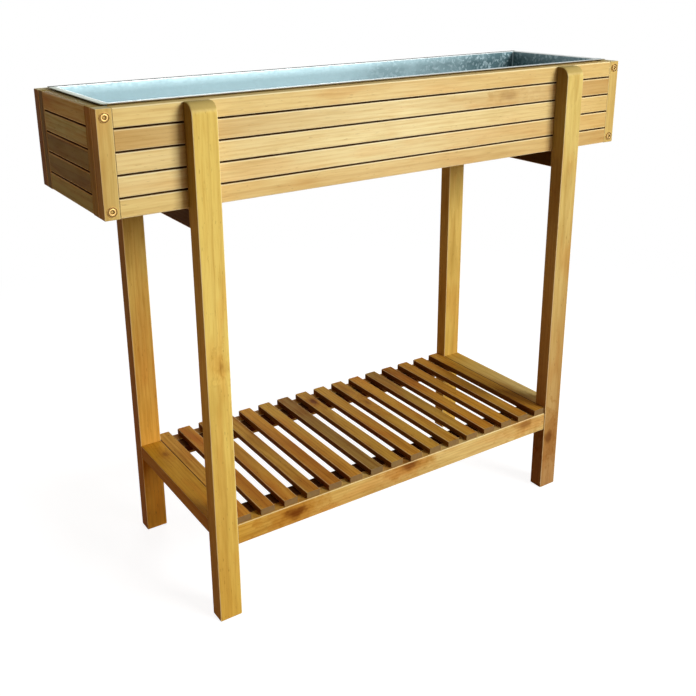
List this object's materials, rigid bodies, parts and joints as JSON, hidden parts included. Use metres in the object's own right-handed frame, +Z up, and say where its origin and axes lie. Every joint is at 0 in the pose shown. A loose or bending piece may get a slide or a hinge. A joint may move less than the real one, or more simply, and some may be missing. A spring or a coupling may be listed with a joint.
{
  "type": "raised herb planter",
  "caption": "Raised oblong wooden herb planter on legs, with a lift-out zinc liner, slatted panels, corner bolts and a slatted lower shelf.",
  "frame": {"origin": "on the floor, below the middle of the planter", "axes": "+Z up, +X along the planter's length, -Y towards the front"},
  "size_m": [0.9, 0.3006, 0.7532],
  "materials": {
    "timber": "oiled, planed, with eased edges",
    "zinc": "zinc-coated sheet with a faint spangle",
    "bolt": "yellow zinc plate"
  },
  "bodies": {
    "stand": {"back_board_1": "timber", "back_board_2": "timber", "back_board_3": "timber", "back_board_4": "timber", "back_board_5": "timber", "back_stile_left": "timber", "back_stile_right": "timber", "corner_bolt_back_left_bottom": "bolt", "corner_bolt_back_left_top": "bolt", "corner_bolt_back_right_bottom": "bolt", "corner_bolt_back_right_top": "bolt", "corner_bolt_front_left_bottom": "bolt", "corner_bolt_front_left_top": "bolt", "corner_bolt_front_right_bottom": "bolt", "corner_bolt_front_right_top": "bolt", "cross_rail_left": "timber", "cross_rail_right": "timber", "floor_board": "timber", "front_board_1": "timber", "front_board_2": "timber", "front_board_3": "timber", "front_board_4": "timber", "front_board_5": "timber", "front_stile_left": "timber", "front_stile_right": "timber", "left_end_board_2": "timber", "left_end_board_3": "timber", "left_end_board_4": "timber", "left_end_frame": "timber", "leg_back_left": "timber", "leg_back_right": "timber", "leg_front_left": "timber", "leg_front_right": "timber", "right_end_board_2": "timber", "right_end_board_3": "timber", "right_end_board_4": "timber", "right_end_frame": "timber", "shelf_batten_back": "timber", "shelf_batten_front": "timber", "shelf_end_board_left": "timber", "shelf_end_board_right": "timber", "shelf_rail_back": "timber", "shelf_rail_front": "timber", "shelf_slat_01": "timber", "shelf_slat_02": "timber", "shelf_slat_03": "timber", "shelf_slat_04": "timber", "shelf_slat_05": "timber", "shelf_slat_06": "timber", "shelf_slat_07": "timber", "shelf_slat_08": "timber", "shelf_slat_09": "timber", "shelf_slat_10": "timber", "shelf_slat_11": "timber", "shelf_slat_12": "timber", "shelf_slat_13": "timber", "shelf_slat_14": "timber", "shelf_slat_15": "timber", "shelf_slat_16": "timber"},
    "liner": {"liner": "zinc"}
  },
  "joints": [
    {"name": "liner_lift", "type": "slide", "parent": "stand", "child": "liner", "axis": [0, 0, 1], "range_m": [0, 0.15]}
  ]
}
